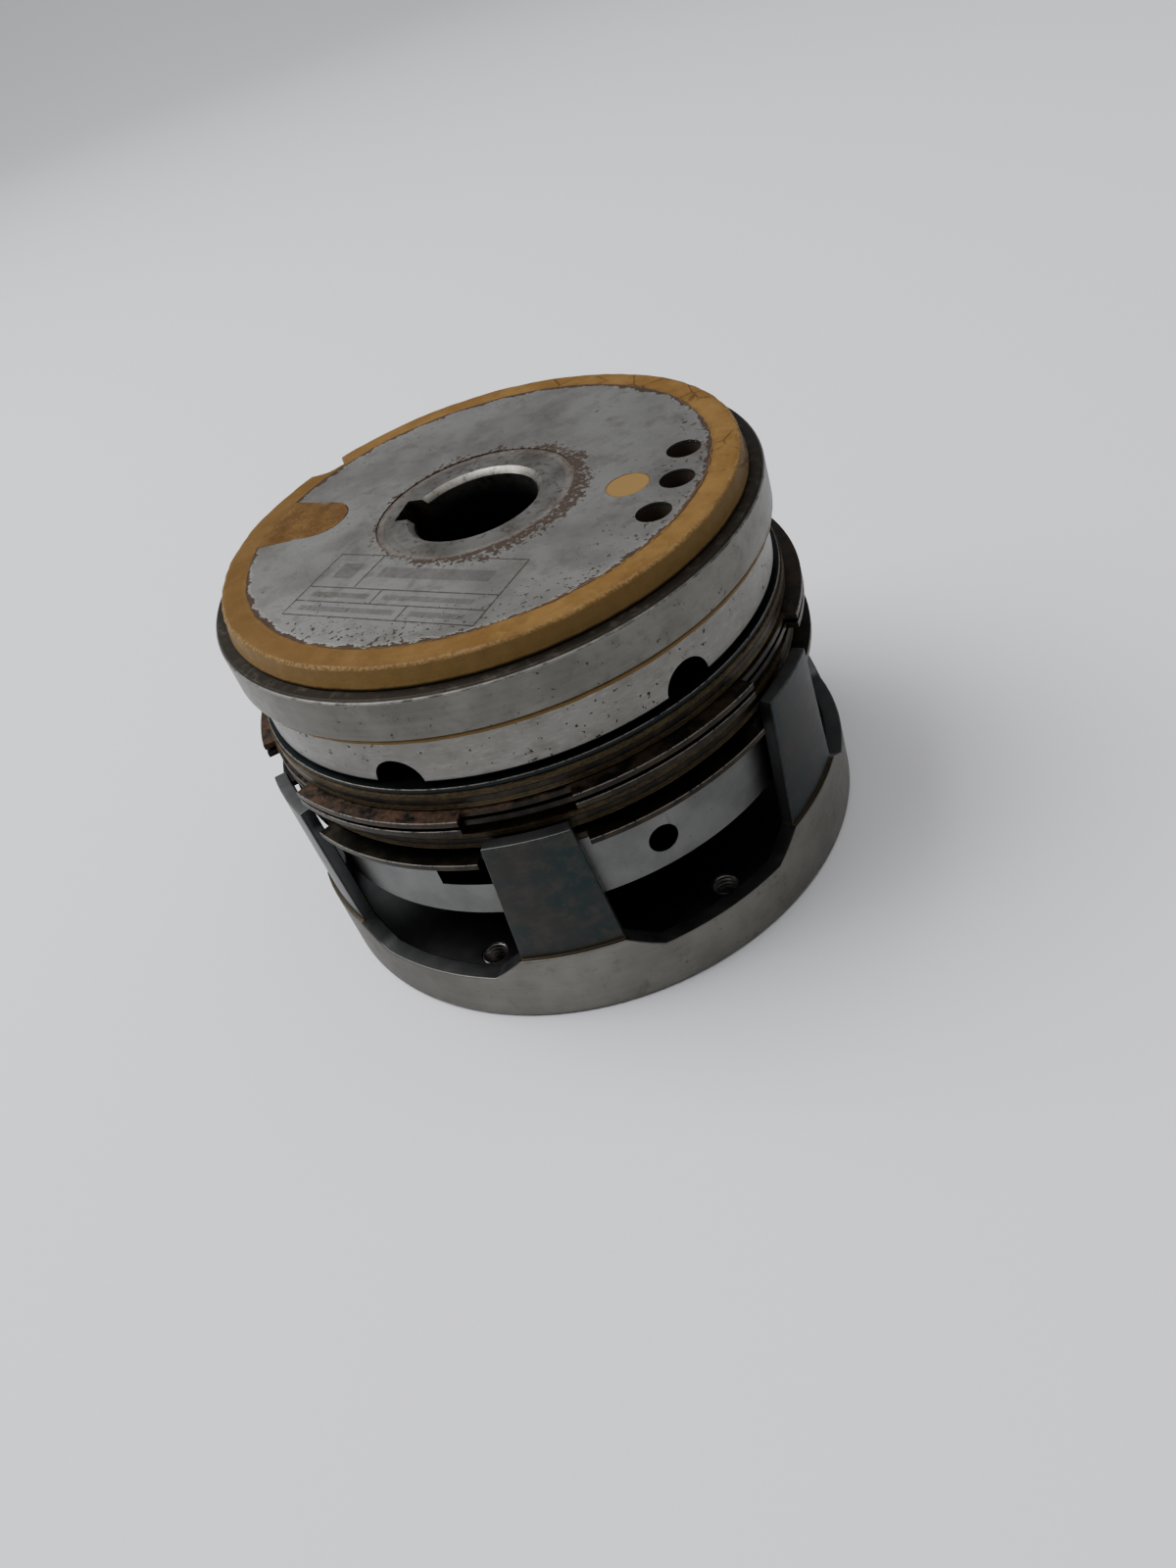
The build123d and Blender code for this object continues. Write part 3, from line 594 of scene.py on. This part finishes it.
# Rust and painted shade in the balance holes: brown walls near the face, painted darker to near black deeper
# in.
hole_rust_and_shade = pot.tint(pot.step(pot.z + blotch * 1.5, face_z - 3.2, face_z - 1.0),
                 (0.012, 0.011, 0.011), (0.085, 0.062, 0.048))
steel = pot.tint(pot.most(pole_face_shade, notch_shade), steel, (0.012, 0.012, 0.013))
steel = pot.tint(hole_wall, steel, hole_rust_and_shade)
crust = pot.most(pot.step(rust, 0.45, 0.85) * 0.9, hole_wall * 0.5)
relief = marks * 0.25 + streak * 0.2 - pot.most(pits, rim_rust) * 0.8 - bore_stain * 0.08 - etched * 0.2
magnet = eased("magnet_body", 0.2, pot.done(
    steel, 0.36 + blotch * 0.16 + rust * 0.35, metallic=1.0 - crust, height=relief, depth=0.06))
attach(magnet, "rotor")

# Coil: enamelled copper wire on a moulded bobbin, closed towards the discs by a turned brass ring.
# Its two leads come up through the core into the pocket in the front face, one to the slip ring.
for node, dark, light, metal, grain in (
    ("coil_bobbin", (0.020, 0.018, 0.016), (0.04, 0.035, 0.03), 0.0, 1.5),
    ("coil_winding", (0.22, 0.07, 0.03), (0.42, 0.16, 0.07), 0.9, 4.0),
    ("coil_cover", (0.10, 0.075, 0.035), (0.24, 0.18, 0.08), 1.0, 2.0),
    ("coil_lead", (0.10, 0.02, 0.012), (0.16, 0.04, 0.02), 0.0, 3.0),
    ("earth_lead", (0.02, 0.02, 0.02), (0.05, 0.05, 0.05), 0.0, 3.0),
):
    coat = Finish(node + "_finish", Metallic=metal)
    grainy = coat.noise(grain, 4)
    paint(node, coat.done(coat.tint(coat.step(grainy, 0.35, 0.65), dark, light), 0.38 + grainy * 0.25,
                          height=coat.lathe(grain * 1.5), depth=0.03))

# Slip ring: turned steel, seated in the resin, polished by the brush on its rim.
# Its upper face is black with brush dust, and a highlight is painted along its outer corner.
low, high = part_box("slip_ring")
slip_top = high.z / MM

track = Finish("slip_ring_steel", Metallic=1.0)
cloud = track.noise(0.09, 4)
blotch = track.noise(0.5, 5, 0.65)
speck = track.noise(1.3, 3, 0.6)
marks = track.lathe(1.6, 2.0, 3)
top_dirt = track.step(track.z + (blotch - 0.5) * 0.3, slip_top - 0.40, slip_top - 0.15)
# Painted highlight: a bright band on the chamfer of the outer top corner, broken by noise.
painted_corner_highlight = track.band(track.z, slip_top - 0.55, slip_top - 0.32, 0.08)
painted_corner_highlight = painted_corner_highlight * track.step(blotch + cloud * 0.4, 0.55, 0.8)
pits = track.step(speck + blotch * 0.18, 0.765, 0.80)
steel = track.tint(track.step(cloud, 0.35, 0.65), (0.134, 0.129, 0.113), (0.090, 0.086, 0.073))
steel = track.tint(marks * 0.3, steel, (0.215, 0.210, 0.192))
steel = track.tint(track.step(blotch, 0.52, 0.7) * 0.35, steel, (0.075, 0.069, 0.056))
steel = track.tint(pits * 0.9, steel, (0.05, 0.03, 0.02))
brush_dust = track.tint(track.step(blotch, 0.5, 0.7), (0.020, 0.016, 0.012), (0.055, 0.048, 0.039))
steel = track.tint(top_dirt * 0.92, steel, brush_dust)
steel = track.tint(painted_corner_highlight * 0.7, steel, (0.34, 0.335, 0.315))
slip = eased("slip_ring", 0.12, track.done(
    steel, 0.36 + blotch * 0.18 + top_dirt * 0.15, height=marks * 0.4 - pits, depth=0.05))
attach(slip, "rotor")

# Insulation: ochre resin cast round the core, under and inside the slip ring, and over the coil leads.
# It was filled a little over the face and scraped flush; one stretch of its rim has broken away.
CORE_R = 37.1
FILM = 0.5
SLOT_AZIMUTH = radians(150.0)
SLOT_TIP_R = 23.2
SLOT_HALF = 5.3
SLOT_FLARE = 1.6
SHOULDER_Z = 54.0
RING_BOTTOM_Z = 54.7
RING_IN_R = 40.4
POCKET_Z = 60.2
LIP_R = 41.85
CROWN_R = 41.3
RIM_R = 43.75
CHIP_FROM, CHIP_TO = radians(117.5), radians(127.0)
CHIP_DEEP = 1.9
PLUG_R = 3.35
low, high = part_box("slip_ring_insulation")
resin_top = high.z / MM
plug_low, plug_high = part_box("fill_plug")
plug = (plug_low + plug_high) / 2


def waves(angle, seed, fewest, most, fall):
    """Sum of sines round a ring, from the fewest waves to the most, whose heights fall with their count; it
    runs from about -1 to 1."""
    random = np.random.default_rng(seed)
    counts = np.arange(fewest, most)
    heights = random.normal(size=counts.size) / counts**fall
    starts = random.uniform(0, 2 * np.pi, counts.size)
    total = (heights * np.sin(np.multiply.outer(angle, counts) + starts)).sum(-1)
    return total / np.sqrt((heights**2).sum() * 0.5) / 2.2


def insulation_surface():
    """Closed outline carried round the axis. Its inner radius follows the lead pocket: on each spoke it
    starts at the first radius that lies within the pocket's round tip or between its flared sides, and
    elsewhere at the core."""
    base = np.linspace(-np.pi, np.pi, 1400, endpoint=False)
    base = base[np.abs((base - SLOT_AZIMUTH + np.pi) % (2 * np.pi) - np.pi) > 0.341]
    near = SLOT_AZIMUTH + np.linspace(-0.34, 0.34, 700)
    angle = np.sort((np.concatenate([base, near]) + np.pi) % (2 * np.pi) - np.pi)
    off = (angle - SLOT_AZIMUTH + np.pi) % (2 * np.pi) - np.pi
    r = np.linspace(SLOT_TIP_R, CORE_R, 260)[:, None]
    aside, ahead = np.abs(r * np.sin(off)), r * np.cos(off)
    half = SLOT_HALF + SLOT_FLARE * np.clip((ahead - 30.0) / (CORE_R - 30.0), 0, 1) ** 2
    centre = SLOT_TIP_R + SLOT_HALF
    tip = np.hypot(ahead - centre, aside) < SLOT_HALF
    within = (np.cos(off) > 0) & (tip | ((ahead > centre) & (aside < half)))
    core = np.where(within.any(0), r[np.argmax(within, 0), 0], CORE_R)
    in_pocket = np.clip((CORE_R - core) / 6.0, 0, 1)
    ragged = 0.35 + 0.65 * np.clip(np.cos(angle + radians(62)), 0, 1)
    edge = core - FILM * ragged * (0.6 + waves(angle, 4, 5, 120, 0.7))
    chip = np.clip((angle - CHIP_FROM) / radians(0.35), 0, 1)
    chip = chip * np.clip((CHIP_TO - angle) / radians(5.0), 0, 1)
    top = resin_top - 0.20 - 0.06 * waves(angle, 9, 2, 30, 0.6)
    crown = CROWN_R + 0.12 * waves(angle, 15, 4, 90, 0.5) - CHIP_DEEP * chip
    drop = 1.3 * chip
    lip = LIP_R + 0.06 * waves(angle, 12, 4, 60, 0.7)
    rim = RIM_R - 0.25 + 0.25 * np.cos(angle + radians(50)) + 0.08 * waves(angle, 31, 3, 80, 0.6)
    lift = 0.06 * waves(angle, 21, 5, 60, 0.5)
    hump = 0.12 * in_pocket
    slip_top_z = slip_top + 0.01
    one = np.ones_like(angle)
    outline = [
        (core + 0.02, (face_z - 0.03) * one), (edge, (face_z - 0.03) * one),
        (edge + 0.05, (face_z + 0.05) * one), (edge + 0.25, top - 0.06), (edge + 0.9, top + 0.02 - hump),
        (edge + (crown - edge) * 0.35, top + 0.05 + lift),
        (edge + (crown - edge) * 0.72, top + 0.06 + lift - 0.5 * drop), (crown - 0.75, top + 0.02 - drop),
        (crown - 0.30, top - 0.10 - drop), (crown - 0.06, top - 0.34 - drop),
        (crown + 0.04, top - 0.7 - drop),
        (lip - 0.35 - 0.8 * chip, (slip_top + 1.0) * one), (lip - 0.05, (slip_top + 0.6) * one),
        (lip, (slip_top + 0.2) * one), (lip - 0.1, slip_top_z * one),
        (RING_IN_R * one, slip_top_z * one), (RING_IN_R * one, (RING_BOTTOM_Z - 0.01) * one),
        (rim, (RING_BOTTOM_Z - 0.01) * one), (rim, (SHOULDER_Z + 0.01) * one),
        ((CORE_R + 0.02) * one, (SHOULDER_Z + 0.01) * one), ((CORE_R + 0.02) * one, POCKET_Z * one),
        (core + 0.02, POCKET_Z * one),
    ]
    radius = np.array([r for r, z in outline]).T
    height = np.array([z for r, z in outline]).T
    vertices = np.stack([radius * np.cos(angle)[:, None], radius * np.sin(angle)[:, None], height], -1)
    return vertices.reshape(-1, 3) * MM, swept_grid(angle.size, len(outline), True, True)[:, ::-1]


resin = Finish("casting_resin", Specular_IOR_Level=0.08)
cloud = resin.noise(0.12, 4)
blotch = resin.noise(0.55, 5, 0.6)
fine = resin.noise(2.2, 4, 0.65)
brush = resin.lathe(1.2, 5.0, 3)
side = resin.step(resin.z + (blotch - 0.5) * 0.5, resin_top - 0.35, resin_top - 0.9)
foot = resin.step(resin.z + (blotch - 0.5) * 0.5, slip_top + 0.7, slip_top + 0.25)
foot = foot * resin.step(resin.z, slip_top - 1.0, slip_top - 0.5)
pocket = resin.step(resin.radius, CORE_R + 0.3, CORE_R - 1.2)
inner_edge = resin.step(resin.radius + (blotch - 0.5) * 2.2, CORE_R + 0.5, CORE_R - 0.4) * (1.0 - side)
on_plug = resin.step(resin.away(plug.x / MM, plug.y / MM), PLUG_R + 0.05, PLUG_R - 0.35)
cracked = resin.node("TexVoronoi", {"feature": "DISTANCE_TO_EDGE"}, {"Vector": resin.place, "Scale": 0.16})
cracks = resin.step(cracked + (fine - 0.5) * 0.06, 0.028, 0.006)
cracks = cracks * resin.step(resin.x + resin.y * 0.3, 20.0, 30.0) * resin.step(cloud, 0.42, 0.55)
ochre = resin.tint(resin.step(cloud, 0.35, 0.65), (0.165, 0.093, 0.029), (0.125, 0.065, 0.018))
ochre = resin.tint(resin.step(blotch, 0.5, 0.75) * 0.4, ochre, (0.205, 0.125, 0.048))
ochre = resin.tint(resin.step(brush, 0.55, 0.75) * 0.25, ochre, (0.095, 0.050, 0.016))
smear = resin.noise(0.28, 5, 0.7)
ochre = resin.tint(resin.step(smear, 0.52, 0.68) * 0.45, ochre, (0.085, 0.047, 0.016))
# Painted shade: the resin is darker towards its left side, against the window light from the left.
ochre = resin.tint(resin.step(resin.x, 2.0, -38.0) * 0.5, ochre, (0.078, 0.043, 0.013))
ochre = resin.tint(side, ochre, resin.tint(blotch, (0.110, 0.064, 0.018), (0.165, 0.103, 0.038)))
amber = resin.tint(resin.step(smear, 0.35, 0.65), (0.072, 0.032, 0.006), (0.150, 0.080, 0.022))
ochre = resin.tint(pocket * 0.8, ochre, amber)
ochre = resin.tint(inner_edge * resin.step(fine, 0.4, 0.6) * 0.55, ochre, (0.050, 0.029, 0.013))
ochre = resin.tint(on_plug, ochre, (0.195, 0.118, 0.042))
# Chipped edge and painted highlight: a lighter, broken line along the rounded top corner of the resin.
chipped_edge_and_highlight = resin.band(resin.z, resin_top - 0.62, resin_top - 0.30, 0.10)
chipped_edge_and_highlight = chipped_edge_and_highlight * resin.step(resin.radius, CROWN_R - 1.0, CROWN_R - 0.5)
ochre = resin.tint(chipped_edge_and_highlight * resin.step(fine + cloud * 0.3, 0.55, 0.75) * 0.7, ochre, (0.230, 0.155, 0.073))
ochre = resin.tint(foot * 0.85, ochre, (0.030, 0.021, 0.012))
ochre = resin.tint(cracks * 0.5, ochre, (0.035, 0.019, 0.008))
ochre = resin.tint(resin.step(fine + blotch * 0.4, 0.88, 0.95) * 0.5, ochre, (0.065, 0.035, 0.013))
relief = (blotch * 0.6 + fine * 0.25 + brush * 0.3) * (1.0 - pocket * 0.6) - cracks
resin_material = resin.done(
    ochre, 0.62 - side * 0.18 - pocket * 0.30 + fine * 0.1, height=relief, depth=0.11)
insulation = bare_mesh("cast_insulation", *insulation_surface(), resin_material)
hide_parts("slip_ring_insulation")
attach(insulation, "rotor")
paint("fill_plug", resin_material)
